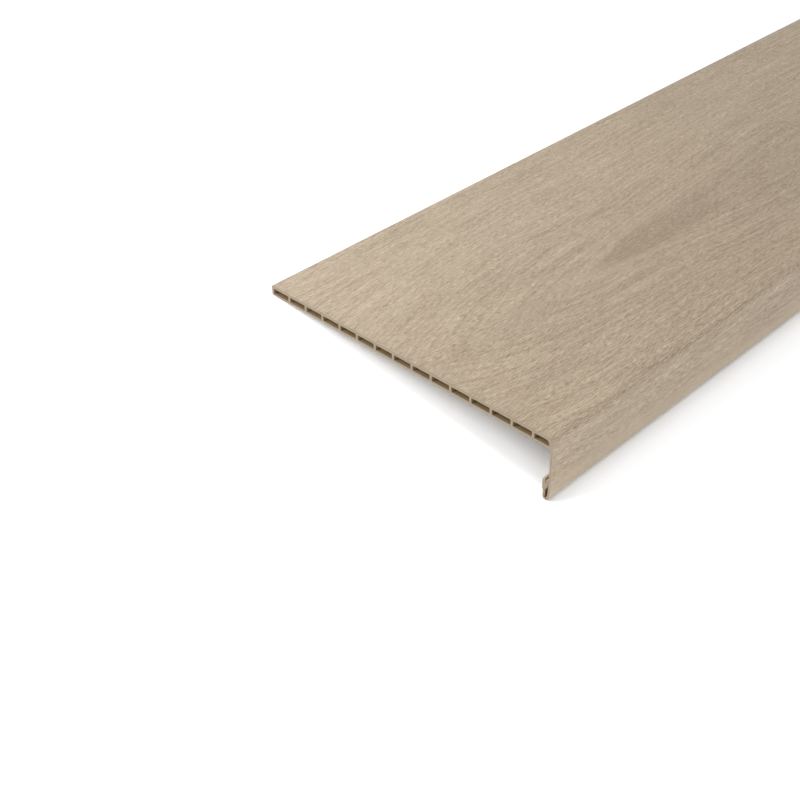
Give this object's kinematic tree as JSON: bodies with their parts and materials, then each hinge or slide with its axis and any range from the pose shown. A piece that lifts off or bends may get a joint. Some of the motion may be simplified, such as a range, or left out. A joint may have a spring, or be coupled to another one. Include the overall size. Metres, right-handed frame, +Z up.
{
  "type": "stair tread cover",
  "caption": "Hollow-chamber extruded plastic stair tread with a light oak decor, a rounded front edge and a drop nosing ending in a hooked lip.",
  "frame": {"origin": "centre of the bounding box's bottom, on the floor that the tread rests on", "axes": "+X along the tread's length, +Y from the nosing to the rear edge, +Z up"},
  "size_m": [1, 0.304, 0.0558],
  "materials": {
    "oak_decor_plastic": "matte"
  },
  "bodies": {
    "root": {"stair_tread": "oak_decor_plastic"}
  },
  "joints": []
}
